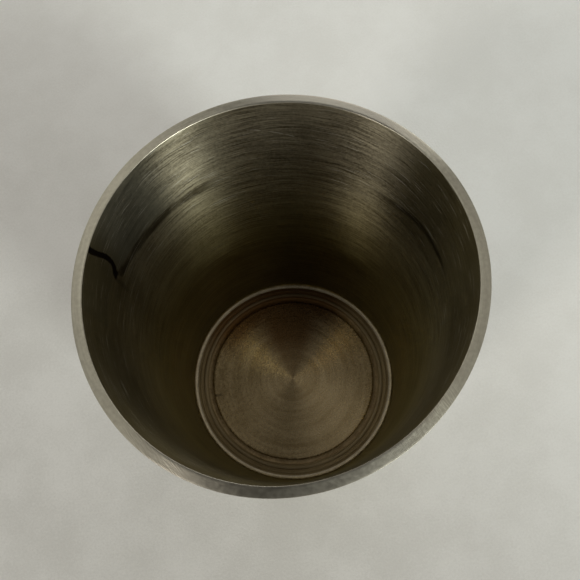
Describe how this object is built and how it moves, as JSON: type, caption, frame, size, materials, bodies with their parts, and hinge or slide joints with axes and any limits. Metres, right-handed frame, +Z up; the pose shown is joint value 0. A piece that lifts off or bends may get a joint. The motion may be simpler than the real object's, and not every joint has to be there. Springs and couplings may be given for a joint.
{
  "type": "shot cup",
  "caption": "Small tapered metal drinking cup with a sloping lip, a soldered foot ring and a turned floor disc set into it.",
  "frame": {"origin": "centre of the foot, on the surface that the cup stands on", "axes": "+Z up along the cup's axis, from foot to lip; X and Y are free, because the cup is round"},
  "size_m": [0.0444, 0.0444, 0.0565],
  "materials": {
    "wall_metal": "satin grey pewter with fine turning lines round the wall, aged",
    "foot_metal": "satin grey pewter, turned",
    "floor_metal": "darker, warmer satin pewter with concentric turning lines",
    "solder": "bright smooth solder"
  },
  "bodies": {
    "root": {"cup_wall": "wall_metal", "foot_ring": "foot_metal", "floor_disc": "floor_metal", "wall_solder_fillet": "solder", "disc_solder_seam": "solder", "foot_solder_fillet": "solder"}
  },
  "joints": []
}
